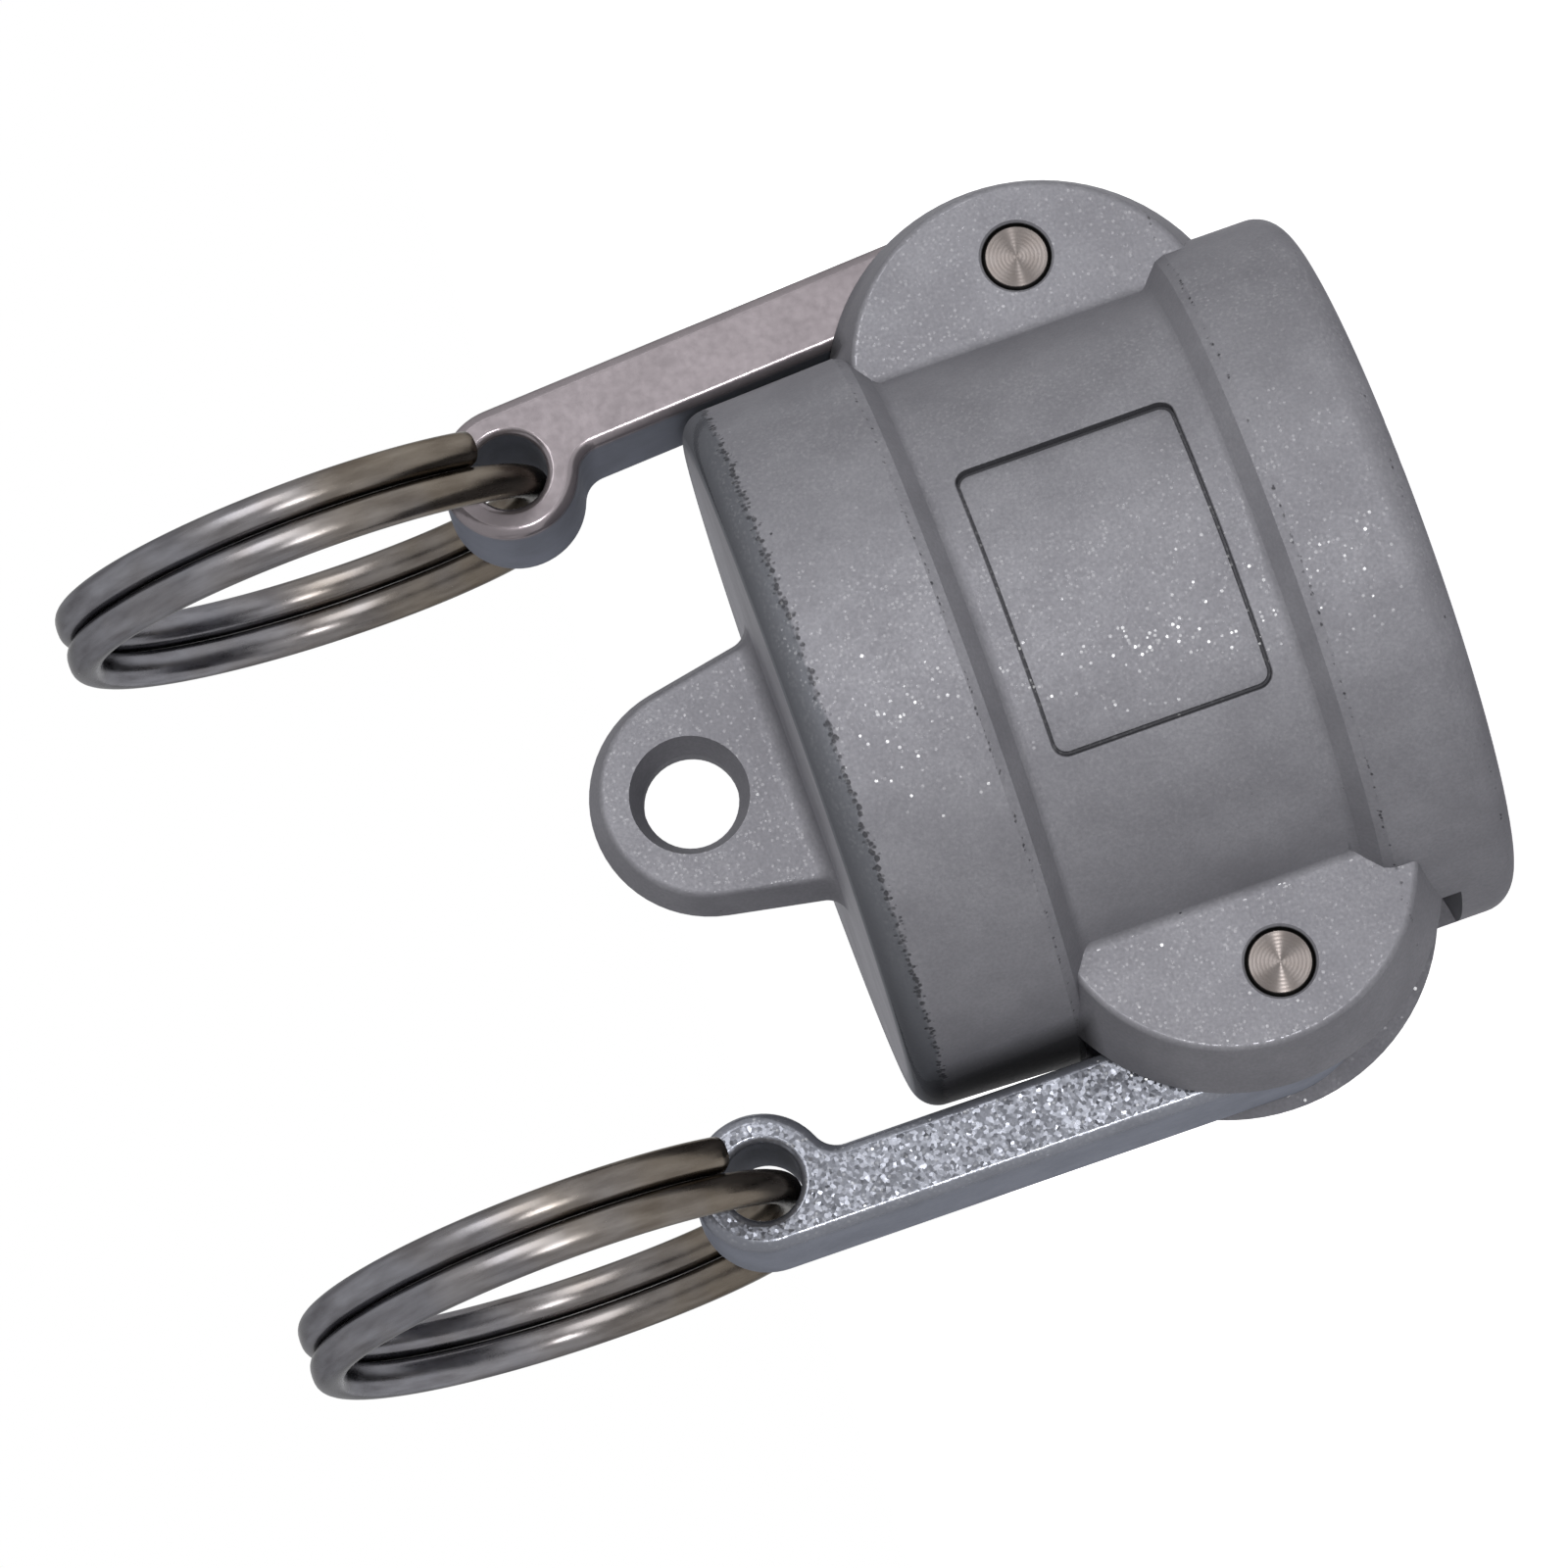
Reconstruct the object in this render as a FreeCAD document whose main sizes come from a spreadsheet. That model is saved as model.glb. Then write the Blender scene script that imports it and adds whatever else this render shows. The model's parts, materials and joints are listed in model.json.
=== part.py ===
"""Cam and groove dust cap for a 3/4 inch adapter: a cast cap with two cam arms and two pull rings.

The cap stands on its mouth with its closed end up. Z runs along the bore, X runs through the
two cam arms, and the pivot pins lie along Y. Lengths are in millimetres and angles in degrees.
"""
import FreeCAD, Part
import math
import os
import Sketcher

SIZES = [
    # Casting, outside
    ("band_diameter", 43.0, "outside of the mouth band and of the closed-end band"),
    ("cap_length", 37.3, "mouth face to closed end"),
    ("mouth_band_width", 7.8, "width of the band at the mouth"),
    ("end_band_width", 10.2, "width of the band at the closed end"),
    ("end_band_draft", 0.4, "how much further out that band stands at the waist than at its end"),
    ("waist_diameter", 40.2, "outside of the waist between the bands"),
    ("band_slope_length", 1.4, "length along the axis of the slope from a band to the waist"),
    ("mouth_corner_radius", 1.9, "rounding of the mouth's outer edge"),
    ("end_corner_radius", 1.7, "rounding of the closed end's outer edge"),
    ("band_edge_chamfer", 0.4, "broken edge where a band steps down to the waist"),
    ("waist_fillet_radius", 0.8, "fillet round the waist, at the steps and at the ears"),
    # Casting, inside
    ("bore_diameter", 32.5, "bore that takes the adapter"),
    ("bore_chamfer", 0.9, "lead-in chamfer at the mouth"),
    ("bore_land_length", 8.1, "machined land that guides the adapter, behind the chamfer"),
    ("bore_relief", 0.25, "how far the wall behind the land stands back from it"),
    ("end_wall", 3.4, "wall behind the gasket"),
    ("gasket_groove_clearance", 0.15, "gap round the gasket in its groove"),
    ("gasket_outer_diameter", 34.9, "gasket outside"),
    ("gasket_inner_diameter", 22.2, "gasket hole"),
    ("gasket_thickness", 5.56, "gasket thickness"),
    ("gasket_lip_clearance", 0.24, "gap between the gasket and the lip that keeps it in"),
    ("gasket_edge_radius", 0.35, "rounding of the gasket's edges"),
    # Clevises
    ("pin_offset", 0.82, "outside of the bands to the pivot pin's axis"),
    ("pin_height", 15.44, "mouth face to pivot pin"),
    ("clevis_width", 18.4, "across the outer faces of a pair of ears"),
    ("arm_side_clearance", 0.3, "gap between an arm and the ear on each side of it"),
    ("slot_radius", 11.7, "reach of the cam slot from the pivot pin"),
    ("ear_radius", 10.87, "rounding of an ear's outer face"),
    ("ear_offset", 6.42, "pivot pin to the centre of that rounding, towards the cap axis"),
    ("ear_height", 0.91, "pivot pin to the centre of that rounding, upwards"),
    ("draft_angle", 18.0, "slope of the sides of the ears and of the chain tab"),
    ("ear_edge_radius", 0.45, "rounding round an ear's outer face"),
    # Recessed panel on the waist
    ("panel_low", 10.9, "mouth face to the panel"),
    ("panel_length", 13.1, "length of the panel along the axis"),
    ("panel_angle", 52.4, "part of the waist that the panel takes"),
    ("panel_depth", 0.4, "depth of the panel"),
    ("panel_corner_radius", 0.9, "rounding of the panel's corners"),
    # Chain tab
    ("tab_thickness", 4.8, "thickness of the chain tab"),
    ("tab_tip_radius", 6.4, "rounding of the tab's tip at its faces"),
    ("tab_tip_height", 5.35, "closed end to the centre of that rounding"),
    ("tab_hole_height", 6.55, "closed end to the centre of the chain hole"),
    ("tab_flare", 11.0, "slope of the tab's sides towards its base"),
    ("tab_hole_diameter", 5.64, "narrowest part of the chain hole"),
    ("tab_hole_mouth_diameter", 7.1, "chain hole at the tab's faces"),
    ("tab_hole_land", 1.2, "straight middle of the chain hole"),
    ("tab_edge_radius", 0.45, "rounding of the tab's edges"),
    ("tab_root_radius", 1.4, "fillet at the tab's base"),
    # Pivot pins
    ("pin_diameter", 4.0, "pivot pin"),
    ("pin_recess", 0.12, "pin end below the ear's face"),
    ("pin_chamfer", 0.2, "chamfer on the pin's ends and on the ears' holes"),
    ("pin_seat_clearance", 0.01, "radial gap between the pin and the ears"),
    ("pin_running_clearance", 0.05, "radial gap between the pin and the arm"),
    # Cam arms, in the arm's own frame: the pin at the origin and the arm along Z
    ("arm_thickness", 7.9, "width of an arm between the ears"),
    ("arm_back", 5.35, "pin to the arm's outer edge"),
    ("arm_front", 0.6, "pin to the arm's inner edge"),
    ("cam_reach", 2.43, "bore's wall to the cam's nose"),
    ("cam_rise", 0.9, "centre of the cam's round above the pin"),
    ("eye_distance", 32.0, "pin to the eye along the arm"),
    ("eye_radius", 4.1, "outside of the boss round the eye"),
    ("eye_hole_diameter", 4.5, "hole that the ring passes through"),
    ("eye_rim_radius", 0.5, "rounding of the hole's rims"),
    ("arm_neck_radius", 2.2, "fillet between the cam and the shank"),
    ("arm_throat_radius", 1.6, "fillet between the shank and the eye"),
    ("arm_edge_radius", 0.75, "rounding of an arm's edges"),
    ("right_arm_lean", 3.3, "lean of the +X arm towards the cap axis"),
    ("left_arm_lean", 0.4, "lean of the -X arm towards the cap axis"),
    # Pull rings: two turns of round wire
    ("ring_radius", 14.2, "centre line of the ring's wire"),
    ("wire_diameter", 2.0, "ring wire"),
    ("ring_turn_gap", 0.2, "gap between one turn of wire and the next"),
    ("ring_first_gap", 39.5, "angle from the eye to the wire's first end"),
    ("ring_last_gap", 30.0, "angle from the wire's last end to the eye"),
    ("ring_seat_clearance", 0.1, "gap between the wire and the eye it rests in"),
    ("ring_shift", 0.3, "wire off the eye's centre, towards -X"),
    ("right_ring_turn", 6.6, "turn of the +X ring about the arm"),
    ("left_ring_turn", 1.8, "turn of the -X ring about the arm"),
]

# Turns of wire in a pull ring, less the gaps at its two ends
WHOLE_TURNS = 2
# How far an edge may lie from the place where it is looked for
SLACK = 0.01

doc = FreeCAD.newDocument("cam_groove_dust_cap")
sheet = doc.addObject("Spreadsheet::Sheet", "Sizes")
for row, (alias, value, note) in enumerate(SIZES, start=1):
    sheet.set("A%d" % row, alias)
    sheet.set("B%d" % row, str(value))
    sheet.set("C%d" % row, note)
    sheet.setAlias("B%d" % row, alias)
doc.recompute()


class Term:
    """A size worked out from the sheet, both as a number and as the expression that gives it."""

    def __init__(self, value, text):
        self.value = value
        self.text = text

    def __add__(self, other):
        other = term(other)
        return Term(self.value + other.value, "(%s + %s)" % (self.text, other.text))

    def __sub__(self, other):
        other = term(other)
        return Term(self.value - other.value, "(%s - %s)" % (self.text, other.text))

    def __mul__(self, other):
        other = term(other)
        return Term(self.value * other.value, "%s * %s" % (self.text, other.text))

    def __truediv__(self, other):
        other = term(other)
        return Term(self.value / other.value, "%s / %s" % (self.text, other.text))

    def __neg__(self):
        return Term(-self.value, "(-1 * %s)" % self.text)


def term(number):
    """A plain number as a term; a term stays as it is."""
    if isinstance(number, Term):
        return number
    return Term(float(number), repr(float(number)))


def size(alias):
    """The sheet's cell of that name."""
    return Term(float(sheet.get(alias)), "Sizes.%s" % alias)


def sine(angle):
    return Term(math.sin(math.radians(angle.value)), "sin(%s * 1deg)" % angle.text)


def cosine(angle):
    return Term(math.cos(math.radians(angle.value)), "cos(%s * 1deg)" % angle.text)


def tangent(angle):
    return Term(math.tan(math.radians(angle.value)), "tan(%s * 1deg)" % angle.text)


def root(number):
    return Term(math.sqrt(number.value), "sqrt(%s)" % number.text)


# Heights and radii that several pieces share
band_radius = size("band_diameter") / 2
waist_radius = size("waist_diameter") / 2
bore_radius = size("bore_diameter") / 2
step = band_radius - waist_radius
end_band_low = size("cap_length") - size("end_band_width")
groove_high = size("cap_length") - size("end_wall")
groove_low = groove_high - size("gasket_thickness") - size("gasket_lip_clearance")
groove_radius = size("gasket_outer_diameter") / 2 + size("gasket_groove_clearance")
pin_radius = size("pin_diameter") / 2
pin_hole_radius = pin_radius + size("pin_seat_clearance")
pin_x = band_radius + size("pin_offset")
pin_z = size("pin_height")
clevis_half = size("clevis_width") / 2
slot_width = size("arm_thickness") + size("arm_side_clearance") * 2
slot_half = slot_width / 2
draft = tangent(size("draft_angle"))
tab_half = size("tab_thickness") / 2
tab_hole_z = size("cap_length") + size("tab_hole_height")
eye_x = size("arm_back") - size("eye_radius")


# Helpers for sketches and features
def new_body(label):
    body = doc.addObject("PartDesign::Body", label)
    body.Label = label
    return body


def origin_feature(body, role):
    for feature in body.Origin.OriginFeatures:
        if feature.Role == role:
            return feature
    raise ValueError("no origin feature " + role)


def new_sketch(body, name, plane="XZ_Plane", offset=None):
    """A sketch on one of the body's own origin planes, lifted off it by offset."""
    sketch = body.newObject("Sketcher::SketchObject", name)
    sketch.AttachmentSupport = [(origin_feature(body, plane), "")]
    sketch.MapMode = "FlatFace"
    if offset is not None:
        sketch.setExpression(".AttachmentOffset.Base.z", offset.text)
    return sketch


def pin_down(sketch, geometry, point, x, y):
    """Ties one point of a sketch to its place, measured from the sketch's origin."""
    for kind, value in (("DistanceX", x), ("DistanceY", y)):
        if abs(value.value) < 1e-9:
            axis = -2 if kind == "DistanceX" else -1
            sketch.addConstraint(Sketcher.Constraint("PointOnObject", geometry, point, axis))
        else:
            index = sketch.addConstraint(
                Sketcher.Constraint(kind, -1, 1, geometry, point, value.value))
            sketch.setExpression("Constraints[%d]" % index, value.text)


def draw_polygon(sketch, corners):
    """A closed outline of straight edges through the corners, each tied to its place."""
    points = [(term(x), term(y)) for x, y in corners]
    first = sketch.GeometryCount
    count = len(points)
    for index in range(count):
        x1, y1 = points[index]
        x2, y2 = points[(index + 1) % count]
        line = Part.LineSegment(FreeCAD.Vector(x1.value, y1.value, 0),
                                FreeCAD.Vector(x2.value, y2.value, 0))
        sketch.addGeometry(line, False)
    for index in range(count):
        following = first + (index + 1) % count
        sketch.addConstraint(Sketcher.Constraint("Coincident", first + index, 2, following, 1))
    for index, (x, y) in enumerate(points):
        pin_down(sketch, first + index, 1, x, y)


def draw_circle(sketch, x, y, radius):
    """A circle with its centre tied to its place."""
    centre = FreeCAD.Vector(x.value, y.value, 0)
    circle = sketch.addGeometry(Part.Circle(centre, FreeCAD.Vector(0, 0, 1), radius.value), False)
    pin_down(sketch, circle, 3, x, y)
    index = sketch.addConstraint(Sketcher.Constraint("Radius", circle, radius.value))
    sketch.setExpression("Constraints[%d]" % index, radius.text)


def feature_of(body, kind, name, profile=None):
    feature = body.newObject("PartDesign::" + kind, name)
    if profile is not None:
        feature.Profile = profile
    return feature


def revolve(body, kind, name, sketch, axis="V_Axis"):
    """A full Revolution or Groove about one of the sketch's axes."""
    feature = feature_of(body, kind, name, sketch)
    feature.ReferenceAxis = (sketch, [axis])
    feature.Angle = 360
    return feature


def pad(body, name, sketch, length, symmetric=True, taper=None):
    feature = feature_of(body, "Pad", name, sketch)
    feature.setExpression("Length", length.text)
    feature.Midplane = symmetric
    if taper is not None:
        feature.setExpression("TaperAngle", taper.text)
    return feature


def pocket(body, name, sketch, length):
    """A pocket cut both ways from the sketch, length in all."""
    feature = feature_of(body, "Pocket", name, sketch)
    feature.setExpression("Length", length.text)
    feature.Midplane = True
    return feature


def mirror(body, name, original, plane):
    feature = feature_of(body, "Mirrored", name)
    feature.Originals = [original]
    feature.MirrorPlane = (origin_feature(body, plane), [""])
    body.Tip = feature
    return feature


def edges_where(feature, test):
    """Names of the feature's edges that pass the test."""
    names = []
    for number, edge in enumerate(feature.Shape.Edges, start=1):
        if test(edge):
            names.append("Edge%d" % number)
    if not names:
        raise ValueError("no edge found on " + feature.Label)
    return names


def dress(body, kind, name, base, names, amount):
    """A Fillet or Chamfer of the named edges."""
    feature = feature_of(body, kind, name)
    feature.Base = (base, names)
    feature.setExpression("Radius" if kind == "Fillet" else "Size", amount.text)
    doc.recompute()
    return feature


def near(value, target):
    return abs(value - target.value) < SLACK


def points_along(edge):
    """Points spread evenly along an edge, both ends among them."""
    first, last = edge.FirstParameter, edge.LastParameter
    return [edge.valueAt(first + (last - first) * part) for part in (0, 0.25, 0.5, 0.75, 1)]


def is_circle(edge, radius=None, z=None, y=None):
    """Whether an edge is part of a circle of that radius, at that height or depth."""
    if not isinstance(edge.Curve, Part.Circle):
        return False
    if radius is not None and not near(edge.Curve.Radius, radius):
        return False
    if z is not None and not near(edge.Curve.Center.z, z):
        return False
    return y is None or near(abs(edge.Curve.Center.y), y)


def draw_tab_outline(sketch, centre_z, tip, lean, shoulder_x, shoulder_z, base_x, base_z):
    """A round tip with two straight sides that flare down to the base."""
    low = math.radians(lean.value)
    centre = FreeCAD.Vector(0, centre_z.value, 0)
    circle = Part.Circle(centre, FreeCAD.Vector(0, 0, 1), tip.value)
    arc = sketch.addGeometry(Part.ArcOfCircle(circle, low, math.pi - low), False)
    right_top = FreeCAD.Vector(shoulder_x.value, shoulder_z.value, 0)
    left_top = FreeCAD.Vector(-shoulder_x.value, shoulder_z.value, 0)
    right_low = FreeCAD.Vector(base_x.value, base_z.value, 0)
    left_low = FreeCAD.Vector(-base_x.value, base_z.value, 0)
    left = sketch.addGeometry(Part.LineSegment(left_top, left_low), False)
    base = sketch.addGeometry(Part.LineSegment(left_low, right_low), False)
    right = sketch.addGeometry(Part.LineSegment(right_low, right_top), False)
    sketch.addConstraint(Sketcher.Constraint("Coincident", arc, 2, left, 1))
    sketch.addConstraint(Sketcher.Constraint("Coincident", left, 2, base, 1))
    sketch.addConstraint(Sketcher.Constraint("Coincident", base, 2, right, 1))
    sketch.addConstraint(Sketcher.Constraint("Coincident", right, 2, arc, 1))
    pin_down(sketch, arc, 3, term(0), centre_z)
    pin_down(sketch, arc, 1, shoulder_x, shoulder_z)
    index = sketch.addConstraint(
        Sketcher.Constraint("DistanceY", -1, 1, arc, 2, shoulder_z.value))
    sketch.setExpression("Constraints[%d]" % index, shoulder_z.text)
    pin_down(sketch, left, 2, -base_x, base_z)
    pin_down(sketch, right, 1, base_x, base_z)


# Casting: bands, waist and closed end turned about the cap axis, with its ears, tab and bore
def make_cap_body():
    body = new_body("cap_body")

    # A band's edge is broken with a small chamfer before it slopes down to the waist
    edge = size("band_edge_chamfer")
    edge_drop = edge / 2 / size("band_slope_length")
    edge_radius = band_radius - step * edge_drop
    end_band_radius = band_radius + size("end_band_draft")
    end_edge_radius = end_band_radius - (end_band_radius - waist_radius) * edge_drop
    mouth_step = size("mouth_band_width")
    mouth_waist = mouth_step + size("band_slope_length")
    end_waist = end_band_low - size("band_slope_length")
    outline = new_sketch(body, "outer_section")
    draw_polygon(outline, [
        (0, 0),
        (band_radius, 0),
        (band_radius, mouth_step - edge),
        (edge_radius, mouth_step + edge / 2),
        (waist_radius, mouth_waist),
        (waist_radius, end_waist),
        (end_edge_radius, end_band_low - edge / 2),
        (end_band_radius, end_band_low + edge),
        (band_radius, size("cap_length")),
        (0, size("cap_length")),
    ])
    revolve(body, "Revolution", "outside", outline)
    doc.recompute()

    # Each ear is a slice of a drafted disc, widest at the slot
    ear_depth = clevis_half - slot_half
    ears = new_sketch(body, "ear_discs", offset=slot_half)
    wide = size("ear_radius") + ear_depth * draft
    ear_x = pin_x - size("ear_offset")
    ear_z = pin_z + size("ear_height")
    for side in (1, -1):
        draw_circle(ears, ear_x * side, ear_z, wide)
    front_ears = pad(body, "front_ears", ears, ear_depth, symmetric=False,
                     taper=-size("draft_angle"))
    doc.recompute()
    mirror(body, "back_ears", front_ears, "XZ_Plane")
    doc.recompute()

    # The tab is drafted both ways from the middle plane, like the ears
    lean = size("tab_flare")
    tip = size("tab_tip_radius") + tab_half * draft
    tab = new_sketch(body, "tab_outline")
    tab_root = size("cap_length") - size("end_wall") / 2
    tip_z = size("cap_length") + size("tab_tip_height")
    shoulder_x = tip * cosine(lean)
    shoulder_z = tip_z + tip * sine(lean)
    base_x = shoulder_x + (shoulder_z - tab_root) * tangent(lean)
    draw_tab_outline(tab, tip_z, tip, lean, shoulder_x, shoulder_z, base_x, tab_root)
    front_tab = pad(body, "front_tab", tab, tab_half, symmetric=False,
                    taper=-size("draft_angle"))
    doc.recompute()
    shell = mirror(body, "back_tab", front_tab, "XZ_Plane")
    doc.recompute()

    # Rounded edges and foot of the tab
    def is_tab_rim(edge):
        flat = edge.BoundBox.YLength < SLACK and near(abs(edge.CenterOfMass.y), tab_half)
        return flat and edge.CenterOfMass.z > (size("cap_length") + size("tab_edge_radius")).value

    def is_tab_foot(edge):
        flat = edge.BoundBox.ZLength < SLACK and near(edge.CenterOfMass.z, size("cap_length"))
        return flat and not is_circle(edge, band_radius)
    shell = dress(body, "Fillet", "tab_rims", shell, edges_where(shell, is_tab_rim),
                  size("tab_edge_radius"))
    shell = dress(body, "Fillet", "tab_foot", shell, edges_where(shell, is_tab_foot),
                  size("tab_root_radius"))

    # Rounded ends of the casting, rounded rims of the ears, and one fillet round the waist.
    # The rims come first, so that the fillet runs smoothly round an ear that ends on the waist.
    def is_waist_root(edge):
        points = points_along(edge)
        if not all(near(math.hypot(point.x, point.y), waist_radius) for point in points):
            return False
        if isinstance(edge.Curve, Part.Line):
            return near(abs(points[0].y), clevis_half)
        low = min(point.z for point in points)
        high = max(point.z for point in points)
        return low > mouth_waist.value - SLACK and high < end_waist.value + SLACK
    rounds = [
        ("mouth_corner", lambda edge: is_circle(edge, band_radius, z=term(0)),
         "mouth_corner_radius"),
        ("end_corner", lambda edge: is_circle(edge, band_radius, z=size("cap_length")),
         "end_corner_radius"),
        ("ear_rims", lambda edge: is_circle(edge, size("ear_radius"), y=clevis_half),
         "ear_edge_radius"),
        ("waist_fillets", is_waist_root, "waist_fillet_radius"),
    ]
    for name, test, alias in rounds:
        shell = dress(body, "Fillet", name, shell, edges_where(shell, test), size(alias))

    # Bore, with the groove that keeps the gasket
    bore = new_sketch(body, "bore_section")
    land_high = size("bore_chamfer") + size("bore_land_length")
    relief = size("bore_relief")
    draw_polygon(bore, [
        (0, 0),
        (bore_radius + size("bore_chamfer"), 0),
        (bore_radius, size("bore_chamfer")),
        (bore_radius, land_high),
        (bore_radius + relief, land_high + relief),
        (bore_radius + relief, groove_low),
        (groove_radius, groove_low),
        (groove_radius, groove_high),
        (0, groove_high),
    ])
    revolve(body, "Groove", "bore", bore)
    doc.recompute()

    # Cam slots through the wall, swept about the pivot pins
    slots = new_sketch(body, "cam_slot_reach")
    for side in (1, -1):
        draw_circle(slots, pin_x * side, pin_z, size("slot_radius"))
    pocket(body, "cam_slots", slots, slot_width)
    doc.recompute()

    # Holes for the pivot pins
    holes = new_sketch(body, "pin_hole_places")
    for side in (1, -1):
        draw_circle(holes, pin_x * side, pin_z, pin_hole_radius)
    drilled = pocket(body, "pin_holes", holes, size("clevis_width") * 2)
    doc.recompute()
    mouths = edges_where(drilled, lambda edge: is_circle(edge, pin_hole_radius, y=clevis_half))
    drilled = dress(body, "Chamfer", "pin_hole_mouths", drilled, mouths, size("pin_chamfer"))

    # Chain hole, narrowest in the middle of the tab
    chain_hole = new_sketch(body, "chain_hole_section", plane="YZ_Plane")
    land = size("tab_hole_land") / 2
    hole_radius = size("tab_hole_diameter") / 2
    mouth_radius = size("tab_hole_mouth_diameter") / 2
    draw_polygon(chain_hole, [
        (-tab_half, tab_hole_z),
        (tab_half, tab_hole_z),
        (tab_half, tab_hole_z + mouth_radius),
        (land, tab_hole_z + hole_radius),
        (-land, tab_hole_z + hole_radius),
        (-tab_half, tab_hole_z + mouth_radius),
    ])
    hole_axis = chain_hole.addGeometry(Part.LineSegment(
        FreeCAD.Vector(-1, tab_hole_z.value, 0), FreeCAD.Vector(1, tab_hole_z.value, 0)), True)
    pin_down(chain_hole, hole_axis, 1, -tab_half, tab_hole_z)
    pin_down(chain_hole, hole_axis, 2, tab_half, tab_hole_z)
    revolve(body, "Groove", "chain_hole", chain_hole, axis="Axis0")
    doc.recompute()

    # Shallow panel on the waist, facing -Y
    panel = new_sketch(body, "panel_section", plane="YZ_Plane")
    depth = size("panel_depth")
    panel_floor = waist_radius - depth
    panel_clear = waist_radius + depth
    panel_high = size("panel_low") + size("panel_length")
    draw_polygon(panel, [
        (-panel_floor, size("panel_low")),
        (-panel_clear, size("panel_low")),
        (-panel_clear, panel_high),
        (-panel_floor, panel_high),
    ])
    recess = revolve(body, "Groove", "panel", panel)
    recess.setExpression("Angle", size("panel_angle").text)
    recess.Midplane = True
    doc.recompute()

    def is_panel_corner(edge):
        if not isinstance(edge.Curve, Part.Line) or not near(edge.Length, depth):
            return False
        middle = edge.CenterOfMass
        at_end = near(middle.z, size("panel_low")) or near(middle.z, panel_high)
        return at_end and middle.y < 0
    corners = edges_where(recess, is_panel_corner)
    body.Tip = dress(body, "Fillet", "panel_corners", recess, corners,
                     size("panel_corner_radius"))
    return body


# Seal: a flat ring that lies in the groove against the closed end
def make_gasket():
    body = new_body("gasket")
    section = new_sketch(body, "gasket_section")
    inner = size("gasket_inner_diameter") / 2
    outer = size("gasket_outer_diameter") / 2
    low = groove_high - size("gasket_thickness")
    draw_polygon(section, [(inner, low), (outer, low), (outer, groove_high), (inner, groove_high)])
    ring = revolve(body, "Revolution", "ring", section)
    doc.recompute()
    corners = edges_where(ring, lambda edge: is_circle(edge))
    body.Tip = dress(body, "Fillet", "edges", ring, corners, size("gasket_edge_radius"))
    return body


def make_pin(label, side):
    """A plain dowel through both ears and the arm, chamfered at its ends."""
    body = new_body(label)
    section = new_sketch(body, "pin_section")
    draw_circle(section, term(0), term(0), pin_radius)
    length = size("clevis_width") - size("pin_recess") * 2
    shank = pad(body, "shank", section, length)
    doc.recompute()
    ends = edges_where(shank, lambda edge: is_circle(edge))
    body.Tip = dress(body, "Chamfer", "ends", shank, ends, size("pin_chamfer"))
    body.setExpression(".Placement.Base.x", (pin_x * side).text)
    body.setExpression(".Placement.Base.z", pin_z.text)
    return body


def arm_outline(sketch, side):
    """The cam, the shank and the eye's boss as one closed outline of lines and arcs.

    The cam's round meets the straight back of the arm where the two are tangent, and so does
    the boss. side is 1 for the arm at +X and -1 for its mirror image.
    """
    nose_reach = pin_x - bore_radius + size("cam_reach")
    cam_radius = (size("arm_back") + nose_reach) / 2
    cam_x = size("arm_back") - cam_radius
    cam_z = size("cam_rise")
    boss_radius = size("eye_radius")
    boss_z = size("eye_distance")
    front = size("arm_front")
    cam_top = cam_z + root(cam_radius * cam_radius - (front - cam_x) * (front - cam_x))
    boss_low = boss_z - root(boss_radius * boss_radius - (eye_x - front) * (eye_x - front))
    places = {
        "back_low": (size("arm_back") * side, cam_z),
        "back_high": (size("arm_back") * side, boss_z),
        "throat": (front * side, boss_low),
        "neck": (front * side, cam_top),
        "cam": (cam_x * side, cam_z),
        "boss": (eye_x * side, boss_z),
    }
    at = {name: FreeCAD.Vector(x.value, z.value, 0) for name, (x, z) in places.items()}
    up = FreeCAD.Vector(0, 0, 1)

    def angle(centre, point):
        return math.atan2(at[point].y - at[centre].y, at[point].x - at[centre].x)

    def line(first, last):
        geometry = sketch.addGeometry(Part.LineSegment(at[first], at[last]), False)
        pin_down(sketch, geometry, 1, *places[first])
        pin_down(sketch, geometry, 2, *places[last])
        return geometry

    def arc(centre, radius, first, last):
        """An arc from the end of one line to the start of the next, round a centre."""
        begin, finish = (first, last) if side > 0 else (last, first)
        circle = Part.Circle(at[centre], up, radius.value)
        curve = Part.ArcOfCircle(circle, angle(centre, begin[0]), angle(centre, finish[0]))
        geometry = sketch.addGeometry(curve, False)
        for point, (name, owner, end) in ((1, begin), (2, finish)):
            sketch.addConstraint(Sketcher.Constraint("Coincident", geometry, point, owner, end))
        height = places[centre][1]
        index = sketch.addConstraint(
            Sketcher.Constraint("DistanceY", -1, 1, geometry, 3, height.value))
        sketch.setExpression("Constraints[%d]" % index, height.text)

    back = line("back_low", "back_high")
    inner = line("throat", "neck")
    arc("boss", boss_radius, ("back_high", back, 2), ("throat", inner, 1))
    arc("cam", cam_radius, ("neck", inner, 2), ("back_low", back, 1))


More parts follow.
